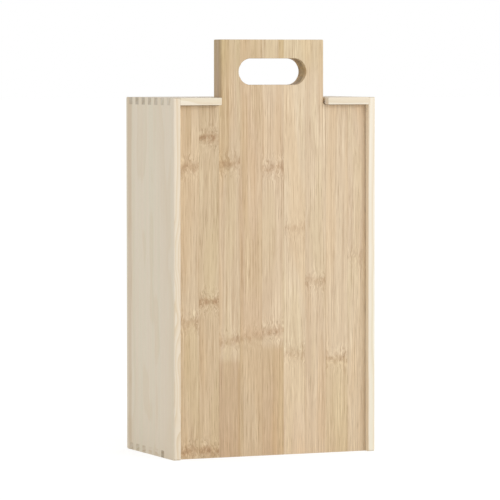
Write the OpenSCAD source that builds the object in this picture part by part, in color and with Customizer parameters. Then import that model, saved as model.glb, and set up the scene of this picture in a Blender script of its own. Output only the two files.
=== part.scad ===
// Two-bottle wine box. Its front is a bamboo serving board, which slides in from below and
// whose handle stands up through the top of the box.
// Millimetres. The box stands on z = 0, is centred on x = 0 and y = 0, and its front faces -y.

/* [Box] */
// Outside width of the box
body_w = 210; // [190:1:260]
// Height of the box, without the handle of the board
body_h = 342; // [300:1:420]
// Outside depth, from front to back
body_d = 120; // [104:1:180]
// Thickness of the two sides, the top and the bottom
panel_t = 7; // [6:0.5:10]
// Cells along each finger joint, an odd number; the sides own the first and the last
finger_n = 15; // [9:2:21]

/* [Back panel] */
// Thickness of the back panel
back_t = 4; // [3:0.5:6]
// How far the back panel lies in from the back edges of the box
back_inset = 4; // [3:0.5:8]
// Depth of the grooves that hold the back panel
back_groove = 3.5; // [2:0.5:4]
// Clearance at the edges of the back panel
back_gap = 0.25; // [0.1:0.05:0.5]

/* [Divider] */
// Thickness of the divider between the bottles
divider_t = 5; // [3:0.5:8]
// Depth of the grooves that hold the divider, at the top and the bottom
divider_groove = 2; // [1:0.5:3]

/* [Serving board] */
// How far the board lies behind the front edges of the box
lip_d = 7; // [4:0.5:12]
// Thickness of the outer plies of the board
face_ply_t = 5; // [3:0.5:7]
// Thickness of the middle ply of the board
core_ply_t = 8; // [4:0.5:10]
// How far the board reaches into the groove of each side
board_grip = 3; // [2:0.5:4]
// Clearance between the board and what it slides in
board_gap = 0.4; // [0.3:0.1:0.8]

/* [Handle] */
// Width of the handle
handle_w = 106; // [96:1:130]
// Height of the handle above the box
handle_h = 55; // [48:1:80]
// Radius in the corner between the handle and a shoulder of the board
corner_r = 2; // [1:0.5:3]
// Clearance on each side of the handle, in the notch of the top
notch_gap = 2; // [1:0.5:4]
// Width of the finger slot
slot_w = 70; // [60:1:80]
// Height of the finger slot, which has half-round ends
slot_h = 25; // [20:1:30]
// Wood above the finger slot
slot_top = 18; // [12:1:24]

/* [Hidden] */
$fn = 64;
// How far a cutting shape runs past what it cuts
over = 1;

// Planes of the box
inner_w = body_w - 2 * panel_t;
front_y = -body_d / 2;
back_y = body_d / 2;
ceiling_z = body_h - panel_t;
finger_w = body_d / finger_n;
back_panel_y = back_y - back_inset - back_t;

// The board, and the space that it slides in
board_w = inner_w + 2 * board_grip;
board_t = 2 * face_ply_t + core_ply_t;
board_y = front_y + lip_d;
rear_y = board_y + board_t + board_gap;
shoulder_z = ceiling_z - board_gap;
handle_z = body_h + handle_h;
slot_z = handle_z - slot_top - slot_h / 2;

// Each ply is glued up from nine strips. The finger slot cuts the middle three in two, and runs
// a little way into the next ones, which reach past the handle; two more fill each shoulder.
strip_n = 9;
cut_strips = [4, 5, 6];
slot_lap = 1;

// The point at a share of the way from start to end
function between(start, end, share) = start + (end - start) * share;

// Edges of the strips from left to right. reach is how far the strips beside the slot reach past
// the handle, and shares says where the seams lie in the left shoulder, between the ends of the
// slot (two of them) and in the right shoulder.
function seams(reach, shares) = let (
    edge = board_w / 2,
    handle = handle_w / 2 + reach,
    slot = slot_w / 2 - slot_lap
) [
    -edge, between(-edge, -handle, shares[0]), -handle,
    -slot, between(-slot, slot, shares[1]), between(-slot, slot, shares[2]), slot,
    handle, between(handle, edge, shares[3]), edge
];

// A ply is its name, its front face, its thickness, its colour and the edges of its strips
plies = [
    ["front_strip", board_y, face_ply_t, [0.80, 0.69, 0.53],
        seams(2.75, [0.55, 0.34, 0.67, 0.51])],
    ["core_strip", board_y + face_ply_t, core_ply_t, [0.70, 0.59, 0.43],
        seams(5, [0.44, 0.29, 0.62, 0.45])],
    ["back_strip", board_y + face_ply_t + core_ply_t, face_ply_t, [0.78, 0.67, 0.51],
        seams(3.5, [0.5, 0.36, 0.64, 0.55])],
];

pine = [0.90, 0.83, 0.70];
plywood = [0.84, 0.76, 0.62];

// A strip that the slot cuts has a piece below the slot and one above it
function is_cut(i) = len(search(i, cut_strips)) > 0;
function pieces(i) = is_cut(i) ? ["_low", "_high"] : [""];
function strip_name(ply, i, piece) = str(ply[0], "_", i, piece);

// ---- Spaces that one piece leaves for another ----

// Grooves for the back panel, in the sides, the top and the bottom
module back_panel_space(gap = 0) {
    space_w = inner_w + 2 * back_groove - 2 * gap;
    space_h = ceiling_z - panel_t + 2 * back_groove - 2 * gap;
    translate([-space_w / 2, back_panel_y, panel_t - back_groove + gap])
        cube([space_w, back_t, space_h]);
}

// Grooves for the divider, in the top and the bottom
module divider_space() {
    space_h = ceiling_z - panel_t + 2 * divider_groove;
    translate([-divider_t / 2, rear_y, panel_t - divider_groove])
        cube([divider_t, back_panel_y - rear_y, space_h]);
}

// The way of the board in the two sides, open at the bottom
module board_space() {
    space_w = board_w + 2 * board_gap;
    translate([-space_w / 2, board_y - board_gap, -over])
        cube([space_w, board_t + 2 * board_gap, ceiling_z + over]);
}

// The notch of the handle, open to the front
module notch_space() {
    space_w = handle_w + 2 * notch_gap;
    translate([-space_w / 2, front_y - over, ceiling_z - over])
        cube([space_w, rear_y - front_y + over, panel_t + 2 * over]);
}

// ---- Finger joints ----

// The fingers of the top, right across the box; the sides have sockets of the same size
module top_fingers() {
    for (i = [1:2:finger_n - 2])
        translate([-body_w / 2, front_y + i * finger_w, ceiling_z])
            cube([body_w, finger_w, panel_t]);
}

// The fingers of the bottom; the bottom starts behind the board, which may cut the first one
module bottom_fingers() {
    for (i = [1:2:finger_n - 2]) {
        start_y = max(front_y + i * finger_w, rear_y);
        end_y = front_y + (i + 1) * finger_w;
        if (end_y - start_y > finger_w / 2)
            translate([-body_w / 2, start_y, 0])
                cube([body_w, end_y - start_y, panel_t]);
    }
}

// ---- The box ----

module side_panel(left_x) {
    difference() {
        translate([left_x, front_y, 0])
            cube([panel_t, body_d, body_h]);
        top_fingers();
        bottom_fingers();
        board_space();
        back_panel_space();
    }
}

module left_side() {
    color(pine) side_panel(-body_w / 2);
}

module right_side() {
    color(pine) side_panel(inner_w / 2);
}

module top_panel() {
    color(pine)
        difference() {
            union() {
                translate([-inner_w / 2, front_y, ceiling_z])
                    cube([inner_w, body_d, panel_t]);
                top_fingers();
            }
            notch_space();
            divider_space();
            back_panel_space();
        }
}

module bottom_panel() {
    color(pine)
        difference() {
            union() {
                translate([-inner_w / 2, rear_y, 0])
                    cube([inner_w, back_y - rear_y, panel_t]);
                bottom_fingers();
            }
            divider_space();
            back_panel_space();
        }
}

module back_panel() {
    color(plywood) back_panel_space(back_gap);
}

module divider() {
    color(plywood) divider_space();
}

// ---- The serving board ----

// Front view of the board: the body, the handle on top of it and the finger slot
module board_outline() {
    difference() {
        union() {
            translate([-board_w / 2, 0])
                square([board_w, shoulder_z]);
            translate([-handle_w / 2, 0])
                square([handle_w, handle_z]);
            translate([-handle_w / 2 - corner_r, 0])
                square([handle_w + 2 * corner_r, shoulder_z + corner_r]);
        }
        for (side = [-1, 1])
            translate([side * (handle_w / 2 + corner_r), shoulder_z + corner_r])
                circle(corner_r);
        slot_outline();
    }
}

module slot_outline() {
    straight_w = slot_w - slot_h;
    translate([-straight_w / 2, slot_z - slot_h / 2])
        square([straight_w, slot_h]);
    for (side = [-1, 1])
        translate([side * straight_w / 2, slot_z])
            circle(slot_h / 2);
}

// One piece of one strip: the outline between two seams, below or above the slot if it is cut
module strip(ply, i, piece) {
    left_x = ply[4][i - 1];
    right_x = ply[4][i];
    low_z = piece == "_high" ? slot_z : 0;
    high_z = piece == "_low" ? slot_z : handle_z;
    color(ply[3])
        translate([0, ply[1] + ply[2], 0])
            rotate([90, 0, 0])
                linear_extrude(ply[2])
                    intersection() {
                        board_outline();
                        translate([left_x, low_z])
                            square([right_x - left_x, high_z - low_z]);
                    }
}

left_side();
right_side();
top_panel();
bottom_panel();
back_panel();
divider();
for (ply = plies, i = [1:strip_n], piece = pieces(i))
    strip(ply, i, piece);
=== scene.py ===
"""Looks of a two-bottle wine box whose front is a sliding bamboo serving board.

Every wooden part is one closed slab: a flat outline carried straight through the thickness of
the wood, with its edges eased to a small round. The box is pine with plywood inside, and the
board is glued up from three plies of bamboo strips. One object is made for each part of the
frame and takes its place.
"""

import functools
import math
from types import SimpleNamespace

import bpy
import numpy as np
from mathutils import Matrix, Vector


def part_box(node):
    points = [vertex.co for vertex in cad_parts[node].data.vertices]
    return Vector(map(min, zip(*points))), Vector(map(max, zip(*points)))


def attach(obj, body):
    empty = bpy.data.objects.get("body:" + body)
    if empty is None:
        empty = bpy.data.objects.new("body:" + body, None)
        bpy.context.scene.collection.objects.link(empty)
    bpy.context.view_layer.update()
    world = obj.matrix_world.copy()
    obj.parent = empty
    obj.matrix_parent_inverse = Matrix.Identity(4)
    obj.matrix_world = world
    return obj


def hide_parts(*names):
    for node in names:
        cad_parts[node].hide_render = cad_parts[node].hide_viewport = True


bl_info = {
    "name": "Wine Box",
    "version": (1, 0, 0),
    "blender": (4, 5, 0),
    "location": "View3D > Sidebar > Wine Box",
    "description": "Builds a pine wine box with a bamboo serving board as its front",
    "category": "Object",
}

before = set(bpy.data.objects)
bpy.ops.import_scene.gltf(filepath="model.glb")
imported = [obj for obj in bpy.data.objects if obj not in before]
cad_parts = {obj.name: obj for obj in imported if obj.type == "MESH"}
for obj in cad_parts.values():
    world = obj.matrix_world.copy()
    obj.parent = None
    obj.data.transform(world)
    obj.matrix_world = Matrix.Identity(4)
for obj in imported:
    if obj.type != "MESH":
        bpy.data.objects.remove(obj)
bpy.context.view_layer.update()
TINY = 1e-6
# Faces that meet at more than this angle are shaded apart
SHARP_TURN = math.radians(30)
# Two edges of an outline run nearly on where the cosine of their turn is above this
NEARLY_STRAIGHT = 0.94
# Turns of an outline, in radians, between which its walls are shaded as one smooth curve
CURVE_TURNS = (0.005, 0.35)
# An edge eased deeper than the first is an open one, and one less deep than the second a seam
OPEN_DEPTH = 0.0002
SEAM_DEPTH = 0.00008
# How dark end grain is, from 0 to 1, where nothing else is said
PLAIN_CUT = 0.6
# A piece with fewer faces than this after carving has lost its shape
LEAST_FACES = 8


def node_span(node, axis):
    """Lowest and highest coordinate of a frame node along one axis, in metres."""
    low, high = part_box(node)
    return low[axis], high[axis]


def srgb(red, green, blue):
    """The linear colour of three 8-bit display values."""
    share = np.array([red, green, blue]) / 255
    linear = np.where(share <= 0.04045, share / 12.92, ((share + 0.055) / 1.055) ** 2.4)
    return tuple(float(value) for value in linear)


# ---- Sizes and colours ----


def property_maker(kind, **usual):
    """A function that makes properties of one kind from a name, a description, a default and
    the options that differ from the usual ones."""

    def make(name, description, default, **options):
        return kind(name=name, description=description, default=default, **{**usual, **options})

    return make


plain = property_maker(bpy.props.FloatProperty)
length = property_maker(
    bpy.props.FloatProperty, min=0.0, precision=5, unit="LENGTH", subtype="DISTANCE"
)
place = property_maker(
    bpy.props.FloatVectorProperty, size=3, precision=4, unit="LENGTH", subtype="TRANSLATION"
)
angle = property_maker(bpy.props.FloatProperty, precision=4, unit="ROTATION", subtype="ANGLE")
colour = property_maker(
    bpy.props.FloatVectorProperty, size=3, min=0.0, max=1.0, subtype="COLOR"
)
factor = property_maker(bpy.props.FloatProperty, min=0.0, max=1.0, subtype="FACTOR")


class WINEBOX_PG_box(bpy.types.PropertyGroup):
    """Sizes and colours of the pine box."""

    finger_cells: bpy.props.IntProperty(
        name="Finger cells",
        description="Cells along each finger joint; the sides own the first and the last",
        default=15,
        min=3,
    )
    outer_ease: length("Front arris, outside", "Round on the outer front edges", 0.0017)
    inner_ease: length("Front arris, inside", "Round on the inner front edges", 0.0004)
    back_ease: length("Back arris", "Round on the back edges", 0.0004)
    rim_ease: length("Top and bottom arris", "Round on the upper and lower edges", 0.0005)
    lip_ease: length("Top arris, front", "Round on the upper front edge of the top", 0.0006)
    under_ease: length("Top arris, under", "Round on the lower front edge of the top", 0.00012)
    notch_ease: length("Notch arris", "Round on the edges of the handle's notch", 0.0008)
    panel_ease: length("Hidden arris", "Round on the bottom's front and the back panel", 0.0003)
    divider_ease: length("Divider arris", "Round on the edges of the divider", 0.0004)
    seam_ease: length("Glue seam", "Depth of the fine groove where two parts meet", 0.0001)
    channel_gap: length("Board clearance", "Room between the board and its channel", 0.0004)
    notch_gap: length("Notch clearance", "Room on each side of the handle", 0.002)
    notch_corner: length("Notch corners", "Radius of the notch's corners at the front", 0.0016)
    back_gap: length("Back panel clearance", "Room at the edges of the back panel", 0.00025)
    ring_spacing: length("Growth rings", "From one growth ring to the next", 0.0052)
    top_spacing: length("Growth rings, top", "From one growth ring to the next", 0.0078)
    early_wood: colour("Early wood", "Pale wood between the rings", srgb(238, 225, 203))
    late_wood: colour("Late wood", "Wood of the growth rings", srgb(225, 205, 173))
    end_wood: colour("End grain", "Tint of the darkest end grain", srgb(200, 196, 190))
    plywood: colour("Plywood", "Face veneer of the back and the divider", srgb(227, 208, 175))
    plywood_core: colour("Plywood core", "Middle veneer at a cut edge", srgb(196, 168, 130))


class WINEBOX_PG_board(bpy.types.PropertyGroup):
    """Sizes and colours of the bamboo board."""

    handle_width: length("Handle width", "Width of the handle", 0.106)
    corner_radius: length("Shoulder fillet", "Radius between handle and shoulder", 0.002)
    slot_width: length("Slot width", "Width of the finger slot", 0.070)
    slot_height: length("Slot height", "Height of the finger slot", 0.025)
    slot_top: length("Wood over slot", "Wood above the finger slot", 0.018)
    outer_corner: length("Outer corners", "Radius of the corners in front view", 0.0010)
    allowance: length("Allowance", "Extra wood on the shoulders and the handle", 0.0002)
    edge_ease: length("Front arris", "Round on the open front edges of the board", 0.0009)
    rear_ease: length("Back arris", "Round on the open back edges of the board", 0.0004)
    shoulder_ease: length("Shoulder arris", "Round on the edges of the shoulders", 0.0001)
    seam_ease: length("Glue seam", "Depth of the fine groove between two strips", 0.00005)
    knuckle_tint: colour("Knuckle", "Tint of the dashes in a knuckle", srgb(217, 200, 187))
    vessel_tint: colour("Vessels", "Tint of the fine dark fibres", srgb(217, 210, 202))
    patina: colour("Patina", "Tint of the handle, yellowed by hands", srgb(252, 253, 247))


class WINEBOX_PG_stage(bpy.types.PropertyGroup):
    """Camera, floor and light."""

    azimuth: angle("Azimuth", "Turn of the camera round the box", math.radians(-23.656))
    elevation: angle("Elevation", "Camera's height over the horizon", math.radians(3.0153))
    roll: angle("Roll", "Tilt of the camera about its line of sight", math.radians(-0.038))
    distance: length("Distance", "From the camera to the middle of the picture", 3.4619)
    shift_right: length("Aim sideways", "Aim right of the box's middle", -0.00041, min=-1.0)
    aim_height: length("Aim height", "Height of the point the camera looks at", 0.1940)
    lens: plain("Lens", "Focal length in millimetres, on a 36 mm sensor", 257.62, min=1.0)
    floor_size: length("Floor", "Side of the square floor", 60.0)
    floor_tone: factor("Floor tone", "How much light the floor gives back", 0.90)
    floor_glow: factor("Floor glow", "Strength of the floor's own white", 1.25, max=2.0)
    floor_shadow: factor("Shadow", "How much of the shadow shows on the floor", 0.40)
    ambient: factor("Sky", "Level of the even light from all round", 0.78, max=2.0)
    lamp_place: place("Lamp place", "Middle of the big soft lamp", (2.6, -5.0, 2.25))
    lamp_aim: place("Lamp aim", "Point that the lamp faces", (0.0, 0.0, 0.2))
    lamp_side: length("Lamp side", "Side of the square lamp", 2.4)
    lamp_power: plain("Lamp power", "Power of the lamp in watts", 88.0, min=0.0)


# ---- Shapes ----


def arc(centre, radius, start, end, count):
    """Points on a circle: the centre plus radius times (cos, sin) of angles spaced evenly
    from start to end, in degrees."""
    angles = np.radians(np.linspace(start, end, count))
    return np.array(centre) + radius * np.stack((np.cos(angles), np.sin(angles)), 1)


def both_halves(*arcs):
    """A line from left to right: arcs on the left half, then their mirror image at x = 0."""
    left = np.concatenate([arc(*row) for row in arcs])
    return np.concatenate((left, left[::-1] * (-1, 1)))


def rectangle(low, high):
    """The outline of a rectangle between its low and its high corner."""
    return np.array([(low[0], low[1]), (high[0], low[1]), (high[0], high[1]), (low[0], high[1])])


def square_teeth(cuts, rim, floor):
    """The line along one edge of a board with square cuts in it, from the first cut to the last:
    for each cut from a to b the four points (a, rim), (a, floor), (b, floor), (b, rim)."""
    start, end = cuts[:, 0], cuts[:, 1]
    along = np.stack((start, start, end, end), 1)
    across = np.broadcast_to([rim, floor, floor, rim], along.shape)
    return np.stack((along.ravel(), across.ravel()), 1)


def edge_middles(outline):
    """The middle of each edge of an outline: the mean of a point and the next."""
    return (outline + np.roll(outline, -1, 0)) / 2


def inset(outline, ease):
    """How far each corner of an outline moves inward when every edge moves in by its own ease,
    and the mean ease there.

    Each edge has an outward normal n. At a corner between edges 1 and 2 the move m solves
    m.n1 = ease1 and m.n2 = ease2. Where the two edges run nearly on, the move is the mean ease
    along the mean normal, over the cosine of half the turn.
    """
    forward = np.roll(outline, -1, 0) - outline
    forward /= np.linalg.norm(forward, axis=1)[:, None]
    normal = np.stack((forward[:, 1], -forward[:, 0]), 1)
    before, before_ease = np.roll(normal, 1, 0), np.roll(ease, 1)
    mean_ease = (ease + before_ease) / 2
    cosine = (normal * before).sum(1)
    square = np.maximum(1 - cosine**2, 1e-9)
    one = ((before_ease - cosine * ease) / square)[:, None] * before
    two = ((ease - cosine * before_ease) / square)[:, None] * normal
    mean = (normal + before) / np.maximum(1 + cosine, 1e-9)[:, None]
    straight = mean * mean_ease[:, None]
    return np.where((cosine > NEARLY_STRAIGHT)[:, None], straight, one + two), mean_ease


def add_object(name, data):
    """Puts an object with this data into the scene."""
    added = bpy.data.objects.new(name, data)
    bpy.context.scene.collection.objects.link(added)
    return added


def curved_walls(outline):
    """Which edges of an outline are part of a curve: those that turn a little at either end."""
    forward = np.roll(outline, -1, 0) - outline
    heading = np.arctan2(forward[:, 1], forward[:, 0])
    bend = np.abs((heading - np.roll(heading, 1) + math.pi) % (2 * math.pi) - math.pi)
    curved = (bend > CURVE_TURNS[0]) & (bend < CURVE_TURNS[1])
    return curved | np.roll(curved, -1)


def add_mask(mesh, label, values):
    """Puts one number on each point of a mesh, for its material to read."""
    mask = mesh.attributes.new(label, "FLOAT", "POINT")
    mask.data.foreach_set("value", values.astype(np.float32))


def slab(name, axes, outline, low, high, low_ease, high_ease, cut=PLAIN_CUT, steps=4):
    """A board: a closed outline carried straight from low to high along the third axis.

    axes gives the coordinates of the outline's two columns and of the carrying direction. Towards
    each face the wall bends over in a quarter round: at angle t from the face the outline has
    moved in by ease times (1 - sin t) and stands ease times (1 - cos t) from the face. The eases
    hold one value for each edge of the outline. The attribute "rim" is 1 on an eased open
    edge, -1 on a glue seam and 0 on the faces and walls. The attribute "cut" is how dark the end
    grain is, with one value for each point of the outline.
    """
    count = len(outline)
    turn = np.linspace(0, math.pi / 2, steps + 1)
    rings, heights, rims = [], [], []
    for level, ease, way in ((low, low_ease, 1), (high, high_ease, -1)):
        move, depth = inset(outline, np.broadcast_to(ease, count).astype(float))
        angles = turn[::way, None]
        rings.append(outline - (1 - np.sin(angles))[..., None] * move)
        heights.append(level + way * (1 - np.cos(angles)) * depth)
        kind = np.select([depth > OPEN_DEPTH, depth < SEAM_DEPTH], [1, -1])
        rims.append(np.sin(2 * angles).round(3) * kind)
    points = np.zeros((2 * (steps + 1), count, 3))
    points[..., axes[:2]] = np.concatenate(rings)
    points[..., axes[2]] = np.concatenate(heights)
    index = np.arange(len(points) * count).reshape(-1, count)
    right = np.roll(index, -1, 1)
    walls = np.stack((index[:-1], right[:-1], right[1:], index[1:]), -1).reshape(-1, 4)
    faces = walls.tolist() + [index[0][::-1].tolist(), index[-1].tolist()]
    if axes not in ((0, 1, 2), (1, 2, 0), (2, 0, 1)):
        faces = [face[::-1] for face in faces]
    mesh = bpy.data.meshes.new(name)
    mesh.from_pydata(points.reshape(-1, 3), [], faces)
    smooth = np.ones((len(points) - 1, count), bool)
    smooth[steps] = curved_walls(outline)
    smooth[:, np.broadcast_to(np.maximum(low_ease, high_ease), count) < SEAM_DEPTH] = False
    mesh.polygons.foreach_set("use_smooth", np.append(smooth.ravel(), [False, False]))
    mesh.set_sharp_from_angle(angle=SHARP_TURN)
    add_mask(mesh, "rim", np.concatenate(rims).ravel())
    add_mask(mesh, "cut", np.tile(np.broadcast_to(cut, count), len(points)))
    mesh.update()
    return add_object(name, mesh)


def block(name, low, high):
    """A plain block between two corners, for cutting."""
    return slab(name, (0, 1, 2), rectangle(low, high), low[2], high[2], TINY, TINY, steps=1)


def carve(piece, *cutters):
    """Cuts blocks out of a piece for good, and removes the blocks."""
    for cutter in cutters:
        cut = piece.modifiers.new(cutter.name, "BOOLEAN")
        cut.operation = "DIFFERENCE"
        cut.solver = "EXACT"
        cut.object = cutter
    graph = bpy.context.evaluated_depsgraph_get()
    carved = bpy.data.meshes.new_from_object(piece.evaluated_get(graph))
    uncut = piece.data
    piece.modifiers.clear()
    piece.data = carved
    carved.name = piece.name
    carved.set_sharp_from_angle(angle=SHARP_TURN)
    bpy.data.meshes.remove(uncut)
    for cutter in cutters:
        bpy.data.meshes.remove(cutter.data)
    if len(carved.polygons) < LEAST_FACES:
        raise RuntimeError(f"{piece.name} could not be carved")


def finish_piece(piece, material, node, body):
    """Gives a piece its material and its place: it rides on a body and stands for a node."""
    piece.data.materials.clear()
    piece.data.materials.append(material)
    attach(piece, body)
    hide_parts(node)


# ---- Node wiring ----


def arithmetic(operation):
    """A method of a signal that adds a Math node for it and perhaps another value."""
    return lambda self, *other: self.wires.math(operation, self, *other)


class Signal:
    """A number, vector or colour on its way through a node tree."""

    __add__ = arithmetic("ADD")
    __sub__ = arithmetic("SUBTRACT")
    __mul__ = arithmetic("MULTIPLY")
    __truediv__ = arithmetic("DIVIDE")
    __pow__ = arithmetic("POWER")
    __abs__ = arithmetic("ABSOLUTE")

    def __init__(self, wires, socket):
        self.wires = wires
        self.socket = socket

    def lean(self, amount):
        """How far a number lies from one half, times an amount."""
        return (self - 0.5) * amount

    def fade(self, start, end, low=0.0, high=1.0):
        """A number that goes smoothly from low, where this one is start, to high, at end."""
        values = {"Value": self, "From Min": start, "From Max": end, "To Min": low}
        values["To Max"] = high
        return self.wires.add("ShaderNodeMapRange", values, interpolation_type="SMOOTHSTEP")

    def mix(self, amount, other, blend="MIX"):
        """This colour mixed with another by an amount from 0 to 1."""
        values = {0: amount, 6: self, 7: other}
        return self.wires.add("ShaderNodeMix", values, 2, data_type="RGBA", blend_type=blend)[0]

    def tint(self, amount, other):
        """This colour multiplied by another as far as the amount says."""
        return self.mix(amount, other, "MULTIPLY")

    def shade(self, light):
        """This colour made lighter or darker. What light has above or below 1 counts most for
        blue and least for red, so that dark fibres are a little more yellow than pale ones."""
        parts = [(light - 1.0) * weight + 1.0 for weight in (0.82, 1.05, 1.22)]
        return self.wires.vector("MULTIPLY", self, self.wires.join(*parts))


class Wires:
    """Adds nodes to one node tree. Every value may be a number, a colour or a signal."""

    def __init__(self, tree):
        self.tree = tree

    def put(self, socket, value):
        """Sets a socket to a value, or joins a signal to it."""
        if isinstance(value, Signal):
            self.tree.links.new(value.socket, socket)
        elif value is not None:
            socket.default_value = value

    def add(self, kind, values=(), *names, **settings):
        """A node of one kind with its settings and its named or numbered inputs. Gives its first
        output, or a list of the outputs that are named."""
        node = self.tree.nodes.new(kind)
        for name, setting in settings.items():
            setattr(node, name, setting)
        for key, value in dict(values).items():
            self.put(node.inputs[key], value)
        if names:
            return [Signal(self, node.outputs[name]) for name in names]
        return Signal(self, node.outputs[0]) if len(node.outputs) else None

    def math(self, operation, *values):
        """One step of arithmetic on numbers."""
        return self.add("ShaderNodeMath", enumerate(values), operation=operation)

    def vector(self, operation, first, second):
        """One step of arithmetic on vectors."""
        name = "Value" if operation == "DOT_PRODUCT" else "Vector"
        values = {0: first, 1: second}
        return self.add("ShaderNodeVectorMath", values, name, operation=operation)[0]

    def split(self, vector):
        """The three numbers of a vector."""
        return self.add("ShaderNodeSeparateXYZ", {"Vector": vector}, "X", "Y", "Z")

    def join(self, x, y, z):
        """A vector from three numbers."""
        return self.add("ShaderNodeCombineXYZ", {"X": x, "Y": y, "Z": z})

    def noise(self, vector, counts=None, detail=2.0, roughness=0.5):
        """Soft noise between about 0.2 and 0.8, one blob for each unit of the vector, or counts
        of them along x, y and z."""
        if counts:
            vector = self.vector("MULTIPLY", vector, counts)
        values = {"Vector": vector, "Scale": 1.0, "Detail": detail, "Roughness": roughness}
        return self.add("ShaderNodeTexNoise", values)

    def group(self, tree, values, *names):
        """A shared group with its inputs set."""
        return self.add("ShaderNodeGroup", values, *names, node_tree=tree)


def fresh_wires(owner):
    """Wires for the emptied node tree of a material or a world."""
    owner.use_nodes = True
    owner.node_tree.nodes.clear()
    return Wires(owner.node_tree)


VECTOR_SOCKETS = ("Vector", "Normal", "Pith", "Face", "Through")


def socket_type(label):
    """The kind of a group's socket, told by its name."""
    if label in VECTOR_SOCKETS:
        return "NodeSocketVector"
    return "NodeSocketColor" if label.endswith(("Color", "Tint")) else "NodeSocketFloat"


def shared_group(name, inputs, outputs):
    """Makes a shader node group of a function that fills one. The function is handed the wires
    and a signal for each named input, and gives a signal for each named output. What it becomes
    gives the group, and builds it the first time."""

    def wrap(fill):
        @functools.wraps(fill)
        def give():
            tree = bpy.data.node_groups.get(name)
            if tree:
                return tree
            tree = bpy.data.node_groups.new(name, "ShaderNodeTree")
            for way, labels in (("INPUT", inputs), ("OUTPUT", outputs)):
                for label in labels:
                    tree.interface.new_socket(label, in_out=way, socket_type=socket_type(label))
            wires = Wires(tree)
            start = tree.nodes.new("NodeGroupInput").outputs
            results = fill(wires, {label: Signal(wires, start[label]) for label in inputs})
            end = tree.nodes.new("NodeGroupOutput").inputs
            for label, value in zip(outputs, results):
                wires.put(end[label], value)
            return tree

        return give

    return wrap


def rgba(linear, gain=(1.0, 1.0, 1.0)):
    """A linear colour for a colour socket, with a gain for each of red, green and blue."""
    return tuple(min(value * part, 1.0) for value, part in zip(linear, gain)) + (1.0,)


# ---- Shared effects ----

# Tints and colours of the shared effects
WHITE = (1.0, 1.0, 1.0, 1.0)
# Pale colour screened onto eased open edges: partly lighter rubbed wood, partly a painted
# highlight on the rounds
BARE_EDGE_AND_HIGHLIGHT = (1.0, 0.97, 0.92, 1.0)
GLUE_LINE = (0.45, 0.36, 0.27, 1.0)
BAMBOO_PINK = (1.0, 0.970, 0.925, 1.0)
BAMBOO_GREEN = (0.992, 1.0, 0.965, 1.0)
BAMBOO_STAIN = (0.90, 0.85, 0.74, 1.0)
PINE_BROAD = (0.985, 0.980, 0.978, 1.0)
PINE_PINK = (1.0, 0.985, 0.985, 1.0)
PINE_GREEN = (0.975, 1.0, 0.990, 1.0)
PINE_BAND = (0.89, 0.85, 0.80, 1.0)
# Knuckles of a bamboo strip, each with the number that sets its pattern apart
KNUCKLES = {"High": 12.4, "Middle": 18.6, "Low": 9.3}
KNUCKLE_PARTS = ("Knuckle", "Strength")
STAINS = ("First Stain", "Second Stain")
STAIN_PARTS = ("Place", "Half Width", "Low", "High", "Strength")
# How far a stain takes to fade at its lower and upper end, in metres, and the share of its half
# width that is evenly dark
STAIN_FADE = 0.035
STAIN_CORE = 0.43
# How far above and below a knuckle its patch ends, at least and at most, and between which
# distances its halo fades
PATCH_REACH = (0.0050, 0.0125)
HALO_REACH = (0.020, 0.003)
# Heights between which the tone of the handle sets in, and half the height in which the two
# tones of a strip pass into each other
PATINA_HEIGHTS = (0.350, 0.384)
TONE_PASS = 0.005
# Heights between which the rings on an edge of the pine change, from calm above to wild below
WILD_HEIGHTS = (0.27, 0.18)
# Distances from the middle of the pine's dark band between which it fades
BAND_REACH = (0.0065, 0.0030)
# Depth of the grain's bumps, in metres
BUMP_DEPTH = 0.0002
SURFACE = ("Color", "Roughness", "Height")


@shared_group("Long Grain", ("Vector", "Seed", "Width", "Length", "Detail"), ("Value",))
def long_grain(wires, given):
    """Noise drawn out along z: one streak is Width across and Length long. A low Detail keeps
    it smooth."""
    seed, width = given["Seed"], given["Width"]
    scaled = wires.vector("DIVIDE", given["Vector"], wires.join(width, width, given["Length"]))
    moved = wires.vector("ADD", scaled, wires.join(seed, seed * 1.7, 0.0))
    return [wires.noise(moved, detail=given["Detail"], roughness=0.55)]


def grain_maker(wires, vector, seed):
    """A function that draws streaks on a wood from their width, their length in metres and a
    number that sets their pattern apart."""

    def streak(width, reach, number, detail=2.5):
        values = {"Vector": vector, "Seed": seed + number, "Width": width, "Length": reach}
        return wires.group(long_grain(), {**values, "Detail": detail})

    return streak


@shared_group("Cut Faces", ("Normal",), ("End", "Side"))
def cut_faces(wires, given):
    """Masks for faces across the grain (End) and for faces on the sides (Side), from the
    normal: the grain runs along z, and the broad faces look along y."""
    x, _, z = wires.split(given["Normal"])
    return [abs(z).fade(0.45, 0.85), abs(x).fade(0.45, 0.85)]


@shared_group("Arris", ("Color", "Vector", "Rim", "Wear", "Glue"), ("Color",))
def arris(wires, given):
    """Lighter edges where the rim mask is above 0, partly rubbed wood and partly a painted
    highlight on the rounds, and a fine dark glue line where it is below.
    """
    patch = wires.noise(given["Vector"], (90.0, 90.0, 90.0)).fade(0.3, 0.7)
    # Lighter eased edges: partly rubbed wood, partly a painted highlight on the rounds
    rubbed_and_lit = wires.math("MAXIMUM", given["Rim"], 0.0) * patch * given["Wear"]
    glue = wires.math("MINIMUM", given["Rim"], 0.0) * -1.0 * given["Glue"]
    return [given["Color"].mix(rubbed_and_lit, BARE_EDGE_AND_HIGHLIGHT, "SCREEN").tint(glue, GLUE_LINE)]


def edged(wires, given, tone, wear_and_highlight, glue):
    """A tone with its lighter edges, partly rubbed wood and partly painted highlight, and the glue
    lines of its piece.
    """
    values = {"Color": tone, "Vector": given["Vector"], "Rim": given["Rim"]}
    return wires.group(arris(), {**values, "Wear": wear_and_highlight, "Glue": glue})


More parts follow.
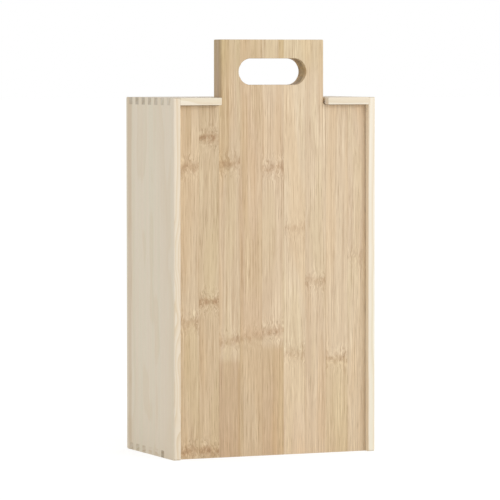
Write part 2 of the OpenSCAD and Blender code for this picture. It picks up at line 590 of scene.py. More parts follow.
@shared_group("Growth Rings", ("Vector", "Pith", "Spacing", "Shake"), ("Late",))
def growth_rings(wires, given):
    """Rings round a pith line parallel to z. The distance from the pith, pushed about by slow
    noise and by finer noise of size Shake, is divided by the spacing; the wood darkens slowly
    towards each ring and then steps back to pale."""
    vector = given["Vector"]
    x, y, _ = wires.split(wires.vector("SUBTRACT", vector, given["Pith"]))
    reach = wires.math("SQRT", x * x + y * y)
    push = wires.noise(vector, (14.0, 14.0, 2.4), 1.0).lean(0.015)
    shake = wires.noise(vector, (60.0, 60.0, 16.0), 1.0).lean(given["Shake"])
    ring = wires.math("FRACT", (reach + (push + shake)) / given["Spacing"])
    return [ring**2.2 * ring.fade(1.0, 0.90)]


@shared_group("Bamboo Knuckle", ("Vector", "Seed", "Height", "Strength"), ("Band", "Halo"))
def bamboo_knuckle(wires, given):
    """One knuckle of a bamboo strip: Band is a soft dark patch at a height with a ragged row of
    short dashes in it, and Halo is the restless wood above and below it."""
    x, y, z = wires.split(given["Vector"])
    seed, strength = given["Seed"], given["Strength"]

    def wander(across, start):
        """Noise that changes along the strip's width only."""
        return wires.noise(wires.join(x * across + seed, y * 60.0, start), detail=1.0)

    def blots(across, upward, low):
        """Noise in the face of the strip, spread between a low value and 1."""
        spot = wires.join(x * across + seed, y * across, z * upward)
        return wires.noise(spot, roughness=0.6).fade(0.36, 0.64, low)

    away = abs(z - given["Height"] - wander(150.0, 3.0).lean(0.008))
    reach = wander(170.0, 9.0).fade(0.30, 0.70, *PATCH_REACH)
    patch = away.fade(reach, 0.0) * blots(330.0, 230.0, 0.35)
    dashes = away.fade(reach * 0.62, 0.0005) * blots(560.0, 210.0, 0.0)
    band = (patch * 0.66 + dashes * (strength * 0.42)) * strength
    return [band, away.fade(*HALO_REACH) * strength]


@shared_group(
    "Bamboo Strip",
    ["Vector", "Normal", "Rim", "Seed", "Upper Color", "Lower Color", "Tone Break"]
    + ["Broad", "Fibre", "Patina Color", "Knuckle Color", "Vessel Color", "Side Color"]
    + ["End Color"]
    + [f"{knuckle} {part}" for knuckle in KNUCKLES for part in KNUCKLE_PARTS]
    + [f"{stain} {part}" for stain in STAINS for part in STAIN_PARTS],
    SURFACE,
)
def bamboo_strip(wires, given):
    """A strip of bamboo: two tones parted by a knuckle, long fibres in three sizes, a slow change
    of hue, up to two ochre stains along the fibres, a yellower handle, fine dark vessels, up to
    three knuckles, and darker cut edges."""
    vector, seed = given["Vector"], given["Seed"]
    z = wires.split(vector)[2]
    band, halo = 0.0, 0.0
    for knuckle, apart in KNUCKLES.items():
        values = {"Vector": vector, "Seed": seed + apart, "Height": given[f"{knuckle} Knuckle"]}
        values["Strength"] = given[f"{knuckle} Strength"]
        one_band, one_halo = wires.group(bamboo_knuckle(), values, "Band", "Halo")
        band = wires.math("MAXIMUM", band, one_band)
        halo = wires.math("MAXIMUM", halo, one_halo)
    aside = wires.noise(vector, (260.0, 160.0, 130.0), 1.0).lean(halo) * 0.0120
    bent = wires.vector("ADD", vector, wires.join(aside, 0.0, 0.0))
    streak = grain_maker(wires, bent, seed)
    broad = streak(0.0052, 0.30, 1.3)
    middle = streak(0.00092, 0.072, 7.9, 0.0)
    fine = streak(0.0006, 0.015, 13.7)
    knotty = streak(0.0017, 0.0050, 21.1)
    fibre = given["Fibre"] * streak(0.011, 0.040, 43.0, 0.0).fade(0.34, 0.66, 0.50, 1.40)
    light = broad.lean(given["Broad"]) + middle.lean(fibre * 0.72) + fine.lean(fibre * 0.70)
    light = light + knotty.lean(1.05) * halo + 1.0
    upper = (z - given["Tone Break"]).fade(-TONE_PASS, TONE_PASS)
    tone = given["Lower Color"].mix(upper, given["Upper Color"])
    hue = streak(0.0130, 0.12, 29.3, 0.0)
    tone = tone.tint(hue.fade(0.50, 0.70), BAMBOO_PINK).tint(hue.fade(0.50, 0.30), BAMBOO_GREEN)
    x = wires.split(bent)[0]
    for stain in STAINS:
        middle_x, half, low, high, strength = (given[f"{stain} {part}"] for part in STAIN_PARTS)
        seen = abs(x - middle_x).fade(half, half * STAIN_CORE) * strength
        seen = seen * (z - low).fade(0.0, STAIN_FADE) * (z - high).fade(0.0, -STAIN_FADE)
        tone = tone.tint(seen, BAMBOO_STAIN)
    vessel = streak(0.0004, 0.020, 37.0).fade(0.56, 0.72)
    tone = tone.tint(z.fade(*PATINA_HEIGHTS), given["Patina Color"])
    tone = tone.tint(vessel, given["Vessel Color"]).tint(band, given["Knuckle Color"])
    end, side = wires.group(cut_faces(), {"Normal": given["Normal"]}, "End", "Side")
    tone = tone.shade(light).tint(side, given["Side Color"]).tint(end, given["End Color"])
    rough = band * 0.12 + middle.lean(-0.25) + 0.56
    height = light - vessel * 0.35 - band * 0.5
    return [edged(wires, given, tone, 0.03, 0.45), rough, height]


@shared_group(
    "Pine Board",
    ["Vector", "Normal", "Rim", "Cut", "Seed", "Pith", "Spacing", "Face", "Face Rings"]
    + ["Edge Rings", "Edge Shake", "Face Tint", "Early Color", "Late Color", "End Color"]
    + ["Band Place", "Band Strength"],
    SURFACE,
)
def pine_board(wires, given):
    """Planed pine: growth rings, which on an edge are wilder low down than higher up, faint broad
    bands and hues, fine fibres, a dark band along one edge, darker end grain that differs from
    finger to finger, and a tint of the broad faces that paints shade or warm bounce light."""
    vector = given["Vector"]
    streak = grain_maker(wires, vector, given["Seed"])
    _, y, z = wires.split(vector)
    flat = abs(wires.vector("DOT_PRODUCT", given["Normal"], given["Face"])).fade(0.4, 0.9)
    wild = given["Edge Shake"] * z.fade(*WILD_HEIGHTS, 0.15, 1.0)
    values = {"Vector": vector, "Pith": given["Pith"], "Spacing": given["Spacing"]}
    values["Shake"] = flat.fade(0.0, 1.0, wild, 0.006)
    late = wires.group(growth_rings(), values)
    shown = late * flat.fade(0.0, 1.0, given["Edge Rings"], given["Face Rings"])
    # The tint of the broad faces is painted light: painted shade on the top, painted warm bounce
    # light on the right side
    tone = given["Early Color"].mix(shown, given["Late Color"]).tint(flat, given["Face Tint"])
    broad = streak(0.016, 0.90, 3.0)
    hue = streak(0.009, 0.60, 27.0)
    tone = tone.tint(broad.fade(0.35, 0.65), PINE_BROAD)
    tone = tone.tint(hue.fade(0.50, 0.66), PINE_PINK).tint(hue.fade(0.50, 0.34), PINE_GREEN)
    off_band = abs(y + streak(0.020, 0.11, 5.0).lean(0.010) - given["Band Place"])
    tone = tone.tint(off_band.fade(*BAND_REACH) * given["Band Strength"], PINE_BAND)
    fine = streak(0.0013, 0.090, 9.0).lean(0.085) + streak(0.0004, 0.016, 15.0).lean(0.05)
    light = fine + broad.lean(0.03) + 1.0
    end = wires.group(cut_faces(), {"Normal": given["Normal"]})
    tone = tone.shade(light).tint(end * given["Cut"], given["End Color"])
    # The lighter eased edges of the pine are partly a painted highlight on the rounded lips
    return [edged(wires, given, tone, 0.12, 0.35), late * 0.06 + 0.58, late * -0.6 + light]


@shared_group(
    "Plywood Sheet",
    ["Vector", "Normal", "Rim", "Seed", "Face Color", "Core Color", "Through", "Middle"]
    + ["Half Core"],
    SURFACE,
)
def plywood_sheet(wires, given):
    """Thin plywood: a pale veneer with long wavy figure and short pores, and a darker middle
    layer at the cut edges."""
    vector, core, through = given["Vector"], given["Core Color"], given["Through"]
    streak = grain_maker(wires, vector, given["Seed"])
    x = wires.split(vector)[0]
    levels = (wires.noise(vector, (9.0, 9.0, 2.2)) + x * 3.0) * 26.0
    figure = wires.math("FRACT", levels) ** 2.0
    pores = streak(0.0006, 0.006, 0.0).fade(0.58, 0.72)
    light = streak(0.003, 0.12, 0.0) * 0.12 + 0.94
    off = abs(wires.vector("DOT_PRODUCT", vector, through) - given["Middle"])
    inner = off.fade(given["Half Core"], given["Half Core"] * 0.85)
    across = abs(wires.vector("DOT_PRODUCT", given["Normal"], through))
    tone = given["Face Color"].mix(figure * 0.30, core).mix(pores * 0.35, core)
    tone = tone.mix(inner * across.fade(0.6, 0.3), core).shade(light)
    return [edged(wires, given, tone, 0.08, 0.3), pores * 0.1 + 0.6, pores * -0.8 + light]


def wood_material(name, group, values, bump, masks=("Rim",), turned=False):
    """A wood: the group reads the place on the piece, its normal and the named masks of its
    mesh, and feeds a Principled shader. If turned, the grain runs along x instead of z."""
    material = bpy.data.materials.new(name)
    wires = fresh_wires(material)
    given = dict(values)
    coordinates = wires.add("ShaderNodeTexCoord", (), "Object", "Normal")
    for label, signal in zip(("Vector", "Normal"), coordinates):
        if turned:
            turn = {"Vector": signal, "Rotation": (0.0, math.pi / 2, 0.0)}
            signal = wires.add("ShaderNodeMapping", turn)
        given[label] = signal
    for mask in masks:
        given[mask] = wires.add("ShaderNodeAttribute", (), "Fac", attribute_name=mask.lower())[0]
    tone, rough, height = wires.group(group, given, *SURFACE)
    dent = {"Strength": bump, "Distance": BUMP_DEPTH, "Height": height}
    surface = {"Base Color": tone, "Roughness": rough, "IOR": 1.45, "Specular IOR Level": 0.35}
    surface["Normal"] = wires.add("ShaderNodeBump", dent)
    shader = wires.add("ShaderNodeBsdfPrincipled", surface)
    wires.add("ShaderNodeOutputMaterial", {"Surface": shader})
    return material


# ---- The box ----

# How much rounder the corners of a side are than its front arris, in metres
CORNER_ROOM = 0.0001
# The outermost edges of a side lie this close to its front or its back
EDGE_ZONE = 0.0012
# How dark the end grain of each finger is, from front to back
TOP_SHADES = (0.42, 0.49, 0.66, 0.68, 0.82, 0.82, 0.75)
BOTTOM_SHADES = (0.90, 0.08, 0.06, 0.34, 0.39, 0.42)
# How dark the end grain is in the notch of the handle
NOTCH_CUT = 0.1
# How far the block that cuts the channel runs out below the sides
OVERSHOOT = 0.01


def box_sizes():
    """Corner planes of the box, read from the frame, in metres."""
    left, inner_left = node_span("left_side", 0)
    front, back = node_span("left_side", 1)
    low, top = node_span("left_side", 2)
    return SimpleNamespace(
        half=-left,
        inner=-inner_left,
        front=front,
        back=back,
        low=low,
        top=top,
        thickness=inner_left - left,
        ceiling=node_span("top_panel", 2)[0],
        floor=node_span("bottom_panel", 2)[1],
        rear=node_span("bottom_panel", 1)[0],
    )


def finger_cuts(sizes, first_y):
    """Start and end of every finger that the sides don't own: the odd cells of the joint. A cell
    that first_y cuts keeps the rest of its width if that is more than half."""
    cells = bpy.context.scene.wine_box.finger_cells
    width = (sizes.back - sizes.front) / cells
    start = sizes.front + width * np.arange(1, cells - 1, 2)
    cuts = np.stack((np.maximum(start, first_y), start + width), 1)
    return cuts[cuts[:, 1] - cuts[:, 0] > width / 2]


def side_outline(sizes, radius):
    """A side seen along x, in y and z: a rectangle with rounded corners, whose upper and lower
    edges have the square sockets of the fingers."""
    bottom = square_teeth(finger_cuts(sizes, sizes.rear), sizes.low, sizes.low + sizes.thickness)
    upper = square_teeth(finger_cuts(sizes, sizes.front), sizes.top, sizes.ceiling)[::-1]
    front, back = sizes.front + radius, sizes.back - radius
    low, top = sizes.low + radius, sizes.top - radius
    corners = ((front, low, 180), (back, low, 270), (back, top, 0), (front, top, 90))
    first, second, third, fourth = (
        arc((y, z), radius, start, start + 90, 6) for y, z, start in corners
    )
    return np.concatenate((first, bottom, second, third, upper, fourth))


def channel_block(sizes, gap):
    """The block that the board takes up on its way out below the sides."""
    low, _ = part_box("front_strip_1")
    back = node_span("back_strip_1", 1)[1]
    reach = gap - low[0]
    start = (-reach, low[1] - gap, sizes.low - OVERSHOOT)
    return block("channel", start, (reach, back + gap, sizes.ceiling))


def node_block(node, gap=0.0):
    """The block that a frame node takes up, with room at its edges in x and z."""
    low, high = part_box(node)
    room = np.array((gap, 0.0, gap))
    return block(f"{node}_block", np.array(low) - room, np.array(high) + room)


def pine_material(name, seed, pith, turned=False, gain=(1.0, 1.0, 1.0), **changes):
    """Pine for one panel, with a gain for each of red, green and blue. changes may hold other
    values in place of the usual ones."""
    settings = bpy.context.scene.wine_box
    values = {
        "Seed": seed,
        "Pith": pith,
        "Spacing": settings.ring_spacing,
        "Face": (1.0, 0.0, 0.0),
        "Face Rings": 0.35,
        "Edge Rings": 1.0,
        "Edge Shake": 0.006,
        "Face Tint": WHITE,
        "Early Color": rgba(settings.early_wood, gain),
        "Late Color": rgba(settings.late_wood, gain),
        "End Color": rgba(settings.end_wood),
        **changes,
    }
    return wood_material(name, pine_board(), values, 0.25, ("Rim", "Cut"), turned)


class WINEBOX_OT_sides(bpy.types.Operator):
    """Make the two pine sides with their finger sockets, the channel for the board and the
    groove for the back panel"""

    bl_idname = "winebox.sides"
    bl_label = "Sides"

    def execute(self, context):
        settings = context.scene.wine_box
        sizes = box_sizes()
        outline = side_outline(sizes, settings.outer_ease + CORNER_ROOM)
        y, z = edge_middles(outline).T
        seam, rim = settings.seam_ease, settings.rim_ease
        at_front = y < sizes.front + EDGE_ZONE
        at_back = y > sizes.back - EDGE_ZONE
        at_end = (z < sizes.low + TINY) | (z > sizes.top - TINY)
        choices = [at_front, at_back, at_end]
        outer = np.select(choices, [settings.outer_ease, settings.back_ease, rim], seam)
        inner = np.select(choices, [settings.inner_ease, rim, seam], seam)
        half = sizes.half
        left = {"Band Place": 0.0515, "Band Strength": 1.0, "Edge Shake": 0.045}
        right = {
            "Band Place": -0.02,
            "Band Strength": 0.3,
            # This side's broad faces are tinted warmer as painted warm bounce light from the
            # bamboo, on the reveal beside the board
            "Face Tint": (1.0, 0.955, 0.88, 1.0),
            "gain": (1.10, 1.14, 1.20),
        }
        rows = (
            ("left_side", (-half, -sizes.inner), (outer, inner), 11.0, (0.26, 0.01, 0.0), left),
            ("right_side", (sizes.inner, half), (inner, outer), 47.0, (-0.31, 0.03, 0.0), right),
        )
        for node, span, eases, seed, pith, changes in rows:
            piece = slab(f"pine_{node}", (1, 2, 0), outline, *span, *eases)
            channel = channel_block(sizes, settings.channel_gap)
            carve(piece, channel, node_block("back_panel", settings.back_gap))
            material = pine_material(f"pine_{node}", seed, pith, **changes)
            finish_piece(piece, material, node, "box")
        return {"FINISHED"}


def panel_outline(sizes, cuts, front_line):
    """The top or the bottom seen from above: a front line, then round the right edge with its
    fingers, the back edge and the left edge with its fingers. Points that meet are left out."""
    right = square_teeth(cuts, sizes.inner, sizes.half)[:, ::-1]
    corners = np.array([(sizes.inner, sizes.back), (-sizes.inner, sizes.back)])
    outline = np.concatenate((front_line, right, corners, right[::-1] * (-1, 1)))
    return outline[np.linalg.norm(outline - np.roll(outline, 1, 0), axis=1) > TINY]


def finger_shades(sizes, outline, cuts, shades):
    """How dark the end grain is at each point of an outline: at the ends of the fingers the shade
    of that finger, from front to back."""
    nearest = np.abs(outline[:, 1, None] - cuts.mean(1)).argmin(1)
    at_end = np.abs(outline[:, 0]) > sizes.half - TINY
    return np.where(at_end, np.array(shades)[nearest], PLAIN_CUT)


def finish_panel(node, span, outline, eases, cut, material):
    """Makes the top or the bottom from its outline, with the grooves for the divider and the
    back panel."""
    gap = bpy.context.scene.wine_box.back_gap
    piece = slab(f"pine_{node}", (0, 1, 2), outline, *span, *eases, cut)
    carve(piece, node_block("divider"), node_block("back_panel", gap))
    finish_piece(piece, material, node, "box")


class WINEBOX_OT_top(bpy.types.Operator):
    """Make the pine top with its fingers, the notch for the handle and the grooves below"""

    bl_idname = "winebox.top"
    bl_label = "Top"

    def execute(self, context):
        settings = context.scene.wine_box
        sizes = box_sizes()
        front, rear, rim, seam = sizes.front, sizes.rear, settings.rim_ease, settings.seam_ease
        notch = context.scene.wine_board.handle_width / 2 + settings.notch_gap
        soft = settings.notch_corner
        left_line = np.concatenate(
            (
                [(-sizes.inner, front)],
                arc((-notch - soft, front + soft), soft, 270, 360, 5),
                [(-notch, rear)],
            )
        )
        front_line = np.concatenate((left_line, left_line[::-1] * (-1, 1)))
        cuts = finger_cuts(sizes, front)
        outline = panel_outline(sizes, cuts, front_line)
        x, y = edge_middles(outline).T
        in_notch = (np.abs(x) < notch + soft) & (y < rear + TINY)
        in_front = (y < front + TINY) & (np.abs(x) < sizes.inner)
        at_back = y > sizes.back - TINY
        at_end = np.abs(x) > sizes.half - TINY
        choices = [in_notch, in_front, at_back, at_end]
        upper = np.select(choices, [settings.notch_ease, settings.lip_ease, rim, rim], seam)
        lower = np.select(choices, [settings.notch_ease, settings.under_ease, rim, seam], seam)
        cut = finger_shades(sizes, outline, cuts, TOP_SHADES)
        cut = np.where(np.abs(outline[:, 0]) < notch + soft + TINY, NOTCH_CUT, cut)
        changes = {
            "Spacing": settings.top_spacing,
            "Edge Rings": 0.80,
            # The top's broad faces are tinted darker as painted shade, since they get less light
            # than the front
            "Face Tint": (0.80, 0.79, 0.805, 1.0),
            "gain": (1.06, 1.085, 1.125),
        }
        material = pine_material("pine_top_panel", 71.0, (0.3975, 0.05, 0.0), True, **changes)
        span = (sizes.ceiling, sizes.top)
        finish_panel("top_panel", span, outline, (lower, upper), cut, material)
        return {"FINISHED"}


class WINEBOX_OT_bottom(bpy.types.Operator):
    """Make the pine bottom with its fingers and the grooves above"""

    bl_idname = "winebox.bottom"
    bl_label = "Bottom"

    def execute(self, context):
        settings = context.scene.wine_box
        sizes = box_sizes()
        rim, seam, panel = settings.rim_ease, settings.seam_ease, settings.panel_ease
        cuts = finger_cuts(sizes, sizes.rear)
        front_line = np.array([(-sizes.inner, sizes.rear), (sizes.inner, sizes.rear)])
        outline = panel_outline(sizes, cuts, front_line)
        x, y = edge_middles(outline).T
        at_end = np.abs(x) > sizes.half - TINY
        choices = [at_end, y < sizes.rear + TINY, y > sizes.back - TINY]
        lower = np.select(choices, [rim, panel, rim], seam)
        upper = np.select(choices, [seam, panel, rim], seam)
        cut = finger_shades(sizes, outline, cuts, BOTTOM_SHADES)
        material = pine_material("pine_bottom_panel", 83.0, (-0.23, -0.02, 0.0), True)
        span = (sizes.low, sizes.floor)
        finish_panel("bottom_panel", span, outline, (lower, upper), cut, material)
        return {"FINISHED"}


def make_sheet(node, axes, ease, seed):
    """A plywood sheet that fills the box of its node: a rectangle in the first two axes, carried
    through its thickness along the third."""
    settings = bpy.context.scene.wine_box
    (left, right), (bottom, top), (low, high) = (node_span(node, axis) for axis in axes)
    outline = rectangle((left, bottom), (right, top))
    piece = slab(f"ply_{node}", axes, outline, low, high, ease, ease)
    values = {
        "Seed": seed,
        "Face Color": rgba(settings.plywood),
        "Core Color": rgba(settings.plywood_core),
        "Through": tuple(float(axis == axes[2]) for axis in range(3)),
        "Middle": (low + high) / 2,
        "Half Core": (high - low) / 6,
    }
    material = wood_material(f"ply_{node}", plywood_sheet(), values, 0.2)
    finish_piece(piece, material, node, "box")


class WINEBOX_OT_sheets(bpy.types.Operator):
    """Make the plywood back panel and the divider between the bottles"""

    bl_idname = "winebox.sheets"
    bl_label = "Back panel and divider"

    def execute(self, context):
        settings = context.scene.wine_box
        make_sheet("back_panel", (0, 2, 1), settings.panel_ease, 5.0)
        make_sheet("divider", (1, 2, 0), settings.divider_ease, 19.0)
        return {"FINISHED"}


# ---- The board ----

# Points of the arcs of an outer corner, a fillet and a quarter of the slot's end
CORNER_POINTS = 6
FILLET_POINTS = 7
SLOT_POINTS = 17
# Seams leave out the points of an arc within this many eases, so that a strip has no splinter
SEAM_CLEAR = 1.3
# Edges this close to the shoulders' height belong to them
SHOULDER_ZONE = 0.0009


def board_lines(board):
    """The lower and upper line of the board and of its slot, each from left to right, in x and
    z: straight lines joined by quarter circles. The shoulders stand higher than in the frame by
    the allowance, so that only a fine line shows under the top of the box, and each edge of the
    handle stands out as far, for its round."""
    half = -node_span("front_strip_1", 0)[0]
    low, shoulder = node_span("front_strip_1", 2)
    shoulder += board.allowance
    top = node_span("front_strip_5_high", 2)[1]
    grip = board.handle_width / 2 + board.allowance
    fillet, corner = board.corner_radius, board.outer_corner
    radius = board.slot_height / 2
    end = (radius - board.slot_width / 2, top - board.slot_top - radius)
    return {
        "half": half,
        "shoulder": shoulder,
        "lower": both_halves(
            ((-half + corner, low + corner), corner, 180, 270, CORNER_POINTS),
        ),
        "upper": both_halves(
            ((-half + corner, shoulder - corner), corner, 180, 90, CORNER_POINTS),
            ((-grip - fillet, shoulder + fillet), fillet, -90, 0, FILLET_POINTS),
            ((-grip + corner, top - corner), corner, 180, 90, CORNER_POINTS),
        ),
        "under": both_halves((end, radius, 180, 270, SLOT_POINTS)),
        "over": both_halves((end, radius, 180, 90, SLOT_POINTS)),
    }


def stretch(line, left, right, clear=TINY):
    """The part of a line between two x, with its two ends found between its points. Points that
    are less than clear from an end are left out."""
    x, z = line.T
    kept = line[(x > left + clear) & (x < right - clear)]
    first = (left, np.interp(left, x, z))
    last = (right, np.interp(right, x, z))
    return np.concatenate(([first], kept, [last]))


def strip_outline(node, lines, board_ease):
    """Outline of one strip in x and z, and which of its edges are glue seams. It goes along the
    lower line, up the right edge, back along the upper line and down the left edge. Where the
    slot reaches a little way into the strip, that edge goes round the slot's end."""
    left, right = node_span(node, 0)
    under, over = lines["under"], lines["over"]
    slot_left, slot_right = under[0, 0], under[-1, 0]
    lower = over if node.endswith("_high") else lines["lower"]
    upper = under if node.endswith("_low") else lines["upper"]
    whole = not node.endswith(("_high", "_low"))
    clear = TINY if whole else SEAM_CLEAR * board_ease
    parts = [stretch(lower, left, right, clear)]
    if whole and left < slot_left < right - TINY:
        parts += [stretch(under, slot_left, right)[::-1], stretch(over, slot_left, right)[1:]]
    parts += [stretch(upper, left, right, clear)[::-1]]
    if whole and left + TINY < slot_right < right:
        parts += [stretch(over, left, slot_right), stretch(under, left, slot_right)[::-1][1:]]
    outline = np.concatenate(parts)
    x, after = outline[:, 0], np.roll(outline[:, 0], -1)
    seam = np.zeros(len(outline), bool)
    for edge in (left, right):
        if abs(edge) < lines["half"] - TINY:
            seam |= (np.abs(x - edge) < TINY) & (np.abs(after - edge) < TINY)
    return outline, seam


def open_ease(outline, lines, board, ease):
    """Round of the open edges of an outline: nearly none on the shoulders, which lie close under
    the top of the box, and none beyond a seam's where ease is None."""
    if ease is None:
        return board.seam_ease
    level = np.abs(edge_middles(outline)[:, 1] - lines["shoulder"]) < SHOULDER_ZONE
    return np.where(level, board.shoulder_ease, ease)


# The strips of the front and the back ply, from left to right. A row holds three things: the upper
# tone, the lower tone and the height where they meet; the height and strength of up to three
# knuckles; and up to two ochre stains, each with its place in x, its half width, its lowest and
# highest point and its strength.
FRONT_STRIPS = (
    (
        ((217, 194, 162), (216, 192, 158), 0.131),
        ((0.2765, 0.75), (0.13, 0.6), (0.007, 0.9)),
        ((-0.089, 0.0042, 0.06, 0.14, 0.4), (-0.087, 0.0042, 0.28, 0.4, 0.55)),
    ),
    (((211, 187, 153), (212, 187, 153), 0.149), ((0.304, 1.03), (0.149, 1.1), (0.007, 1.0)), ()),
    (
        ((216, 192, 160), (204, 176, 143), 0.092),
        ((0.2795, 0.8), (0.111, 0.62)),
        ((-0.0505, 0.0078, 0.25, 0.46, 0.85), (-0.0345, 0.003, -0.05, 0.105, 0.55)),
    ),
    (
        ((215, 188, 155), (214, 190, 157), 0.114),
        ((0.114, 0.5),),
        ((-0.029, 0.0042, 0.205, 0.365, 0.55), (-0.033, 0.003, -0.05, 0.225, 0.4)),
    ),
    (
        ((220, 196, 165), (212, 185, 151), 0.104),
        ((0.275, 0.8), (0.119, 0.82)),
        ((0.0055, 0.0075, -0.05, 0.125, 0.5), (0.009, 0.0042, 0.345, 0.46, 0.95)),
    ),
    (((226, 204, 173), (226, 202, 171), 0.097), ((0.217, 0.4), (0.097, 0.5)), ()),
    (((222, 199, 168), (220, 196, 165), 0.166), ((0.166, 0.6),), ()),
    (((222, 199, 168), (218, 194, 159), 0.0915), ((0.0915, 0.65),), ()),
    (((221, 198, 168), (224, 202, 171), 0.188), ((0.188, 0.3),), ()),
)
BACK_STRIPS = (
    (((214, 190, 158), (209, 184, 151), 0.205), ((0.205, 0.8), (0.041, 0.7)), ()),
    (((219, 195, 163), (214, 188, 154), 0.092), ((0.262, 0.9), (0.092, 0.8)), ()),
    (((208, 185, 153), (205, 181, 149), 0.17), ((0.327, 0.7), (0.17, 0.9)), ()),
    (((216, 190, 157), (210, 184, 150), 0.061), ((0.231, 0.8), (0.061, 0.8)), ()),
    (((211, 184, 151), (214, 189, 157), 0.139), ((0.308, 0.7), (0.139, 1.0)), ()),
    (((221, 197, 166), (217, 192, 160), 0.115), ((0.281, 0.6), (0.115, 0.8)), ()),
    (((209, 182, 148), (206, 178, 144), 0.186), ((0.186, 0.9), (0.022, 0.7)), ()),
    (((217, 193, 161), (213, 188, 155), 0.077), ((0.246, 0.8), (0.077, 0.7)), ()),
    (((214, 189, 156), (211, 186, 152), 0.158), ((0.158, 0.8),), ()),
)
# The strips of the middle ply have one tone each
CORE_TONES = (
    (196, 173, 143),
    (188, 165, 134),
    (206, 182, 153),
    (192, 169, 139),
    (199, 176, 146),
    (190, 167, 136),
    (195, 171, 139),
    (198, 174, 143),
    (189, 167, 137),
)
# Tint of the cut sides of a strip: the handle's left edge, the slot's right end and the others
HANDLE_SIDE = (0.88, 0.855, 0.82, 1.0)
SIDE_TINTS = {
    "front_3": HANDLE_SIDE,
    "core_3": HANDLE_SIDE,
    "back_3": HANDLE_SIDE,
    "front_7": (0.86, 0.79, 0.62, 1.0),
    "core_7": (0.95, 0.89, 0.71, 1.0),
    "back_7": (0.74, 0.70, 0.59, 1.0),
}
PLAIN_SIDE = (0.87, 0.84, 0.71, 1.0)
CUT_END = (0.79, 0.75, 0.69, 1.0)
# How far apart the numbers lie that set the patterns of neighbouring strips apart
SEED_STEP = 4.37


def bamboo_material(name, seed, row, side):
    """Bamboo for one strip, from its row of tones, knuckles and stains."""
    settings = bpy.context.scene.wine_board
    (upper, lower, tone_break), knuckles, stains = row
    values = {
        "Seed": seed,
        "Upper Color": rgba(srgb(*upper)),
        "Lower Color": rgba(srgb(*lower)),
        "Tone Break": tone_break,
        "Broad": 0.27,
        "Fibre": 0.66,
        "Patina Color": rgba(settings.patina),
        "Knuckle Color": rgba(settings.knuckle_tint),
        "Vessel Color": rgba(settings.vessel_tint),
        "Side Color": side,
        "End Color": CUT_END,
    }
    for marks, parts, found in (
        (KNUCKLES, KNUCKLE_PARTS, knuckles),
        (STAINS, STAIN_PARTS, stains),
    ):
        for mark, measures in zip(marks, found):
            for part, measure in zip(parts, measures):
                values[f"{mark} {part}"] = measure
    return wood_material(name, bamboo_strip(), values, 0.3)


def make_ply(ply, rows, seed, rounds):
    """All the strips of one ply. rounds gives the round of the open edges on its front and its
    back, and is None for a face that is glued to the next ply."""
    board = bpy.context.scene.wine_board
    lines = board_lines(board)
    made = {}
    for node in sorted(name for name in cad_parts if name.startswith(f"{ply}_strip_")):
        number = int(node.split("_")[2])
        outline, seam = strip_outline(node, lines, board.edge_ease)
        eases = [
            np.where(seam, board.seam_ease, open_ease(outline, lines, board, ease))
            for ease in rounds
        ]
        piece = slab(f"bamboo_{node}", (0, 2, 1), outline, *node_span(node, 1), *eases)
        if number not in made:
            name = f"{ply}_{number}"
            side = SIDE_TINTS.get(name, PLAIN_SIDE)
            shift = seed + SEED_STEP * number
            made[number] = bamboo_material(f"bamboo_{name}", shift, rows[number - 1], side)
        finish_piece(piece, made[number], node, "board")


class WINEBOX_OT_board(bpy.types.Operator):
    """Make the strips of the board's front, middle and back ply"""

    bl_idname = "winebox.board"
    bl_label = "Board"

    def execute(self, context):
        board = context.scene.wine_board
        heights = [0.1 + 0.02 * step for step in range(len(CORE_TONES))]
        core = [
            ((tone, tone, height), ((height, 0.8),), ())
            for tone, height in zip(CORE_TONES, heights)
        ]
        make_ply("front", FRONT_STRIPS, 2.0, (board.edge_ease, None))
        make_ply("core", core, 120.0, (None, None))
        make_ply("back", BACK_STRIPS, 230.0, (None, board.rear_ease))
        return {"FINISHED"}


# ---- The stage ----

# Width of the camera's sensor in millimetres, and how near and far it sees, in metres
SENSOR_WIDTH = 36.0
SIGHT = (0.01, 200.0)
# How deep the floor lies under the box, and how near a surface has to be to see through it
FLOOR_GAP = 0.0001
TOUCHING = 0.001


def make_camera(settings):
    """The camera looks from an azimuth and elevation at a point above the middle of the box. Its
    sideways axis is level, then both picture axes turn by the roll."""
    turn, rise, roll = settings.azimuth, settings.elevation, settings.roll
    back = Vector(
        (math.sin(turn) * math.cos(rise), -math.cos(turn) * math.cos(rise), math.sin(rise))
    )
    level = (-back).cross(Vector((0, 0, 1))).normalized()
    up = level.cross(-back)
    right = math.cos(roll) * level + math.sin(roll) * up
    upright = -math.sin(roll) * level + math.cos(roll) * up
    aim = Vector((0, 0, settings.aim_height)) + settings.shift_right * level
    data = bpy.data.cameras.new("camera")
    data.lens = settings.lens
    data.sensor_width = SENSOR_WIDTH
    data.clip_start, data.clip_end = SIGHT
    camera = add_object("camera", data)
    axes = Matrix((right, upright, back)).transposed()
    camera.matrix_world = Matrix.Translation(aim + back * settings.distance) @ axes.to_4x4()
    bpy.context.scene.camera = camera


def make_world(settings):
    """An even pale sky that lights the object; the camera, gloss and glass see plain white."""
    world = bpy.data.worlds.new("sky")
    wires = fresh_wires(world)
    kinds = ("Is Camera Ray", "Is Glossy Ray", "Is Transmission Ray")
    camera, gloss, glass = wires.add("ShaderNodeLightPath", (), *kinds)
    seen = wires.math("MAXIMUM", wires.math("MAXIMUM", camera, gloss), glass)
    light, shown = (
        wires.add("ShaderNodeBackground", {"Color": WHITE, "Strength": strength})
        for strength in (settings.ambient, 1.0)
    )
    both = wires.add("ShaderNodeMixShader", {0: seen, 1: light, 2: shown})
    wires.add("ShaderNodeOutputWorld", {"Surface": both})
    bpy.context.scene.world = world


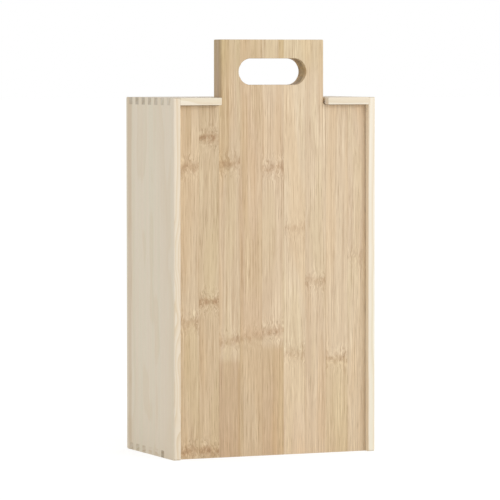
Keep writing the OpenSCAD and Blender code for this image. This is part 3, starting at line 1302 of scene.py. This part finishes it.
def make_floor(settings):
    """A wide pale floor. The camera sees it partly by its own glow, so that it is white where
    no shadow falls, and nothing of it from below. What stands right on it sees through it too,
    so that the underside of the object is lit."""
    side = settings.floor_size / 2
    mesh = bpy.data.meshes.new("floor")
    corners = [(x, y, -FLOOR_GAP) for x, y in rectangle((-side, -side), (side, side))]
    mesh.from_pydata(corners, [], [(0, 1, 2, 3)])
    floor = add_object("floor", mesh)
    material = bpy.data.materials.new("floor")
    wires = fresh_wires(material)
    tone = (settings.floor_tone,) * 3 + (1.0,)
    plain_floor = wires.add("ShaderNodeBsdfDiffuse", {"Color": tone})
    glow = wires.add("ShaderNodeEmission", {"Color": WHITE, "Strength": settings.floor_glow})
    camera, reach = wires.add("ShaderNodeLightPath", (), "Is Camera Ray", "Ray Length")
    share = camera * (1.0 - settings.floor_shadow)
    mixed = wires.add("ShaderNodeMixShader", {0: share, 1: plain_floor, 2: glow})
    (below,) = wires.add("ShaderNodeNewGeometry", (), "Backfacing")
    below = wires.math("MAXIMUM", below, wires.math("LESS_THAN", reach, TOUCHING))
    clear = wires.add("ShaderNodeBsdfTransparent")
    surface = wires.add("ShaderNodeMixShader", {0: below, 1: mixed, 2: clear})
    wires.add("ShaderNodeOutputMaterial", {"Surface": surface})
    mesh.materials.append(material)


def make_lamp(settings):
    """A big soft lamp to the right of the camera."""
    data = bpy.data.lights.new("soft_lamp", "AREA")
    data.shape = "SQUARE"
    data.size = settings.lamp_side
    data.energy = settings.lamp_power
    lamp = add_object("soft_lamp", data)
    start, aim = Vector(settings.lamp_place), Vector(settings.lamp_aim)
    turned = (aim - start).to_track_quat("-Z", "Y").to_matrix().to_4x4()
    lamp.matrix_world = Matrix.Translation(start) @ turned


class WINEBOX_OT_stage(bpy.types.Operator):
    """Make the camera, the sky, the floor and the lamp"""

    bl_idname = "winebox.stage"
    bl_label = "Stage"

    def execute(self, context):
        settings = context.scene.wine_stage
        make_camera(settings)
        make_world(settings)
        make_floor(settings)
        make_lamp(settings)
        context.scene.view_settings.view_transform = "Standard"
        return {"FINISHED"}


OPERATORS = (
    WINEBOX_OT_stage,
    WINEBOX_OT_sides,
    WINEBOX_OT_top,
    WINEBOX_OT_bottom,
    WINEBOX_OT_sheets,
    WINEBOX_OT_board,
)


class WINEBOX_PT_panel(bpy.types.Panel):
    """Lists the steps that build the wine box"""

    bl_idname = "WINEBOX_PT_panel"
    bl_label = "Wine Box"
    bl_space_type = "VIEW_3D"
    bl_region_type = "UI"
    bl_category = "Wine Box"

    def draw(self, context):
        for operator in OPERATORS:
            self.layout.operator(operator.bl_idname)


PROPERTY_GROUPS = {
    "wine_box": WINEBOX_PG_box,
    "wine_board": WINEBOX_PG_board,
    "wine_stage": WINEBOX_PG_stage,
}


def register():
    """Registers the classes and puts the settings on the scene."""
    for name, group in PROPERTY_GROUPS.items():
        bpy.utils.register_class(group)
        setattr(bpy.types.Scene, name, bpy.props.PointerProperty(type=group))
    for operator in OPERATORS:
        bpy.utils.register_class(operator)
    bpy.utils.register_class(WINEBOX_PT_panel)


def unregister():
    """Takes away what register() added."""
    bpy.utils.unregister_class(WINEBOX_PT_panel)
    for operator in reversed(OPERATORS):
        bpy.utils.unregister_class(operator)
    for name, group in PROPERTY_GROUPS.items():
        delattr(bpy.types.Scene, name)
        bpy.utils.unregister_class(group)


def main():
    """Builds everything in order."""
    register()
    for operator in OPERATORS:
        family, step = operator.bl_idname.split(".")
        getattr(getattr(bpy.ops, family), step)()


if __name__ == "__main__":
    main()
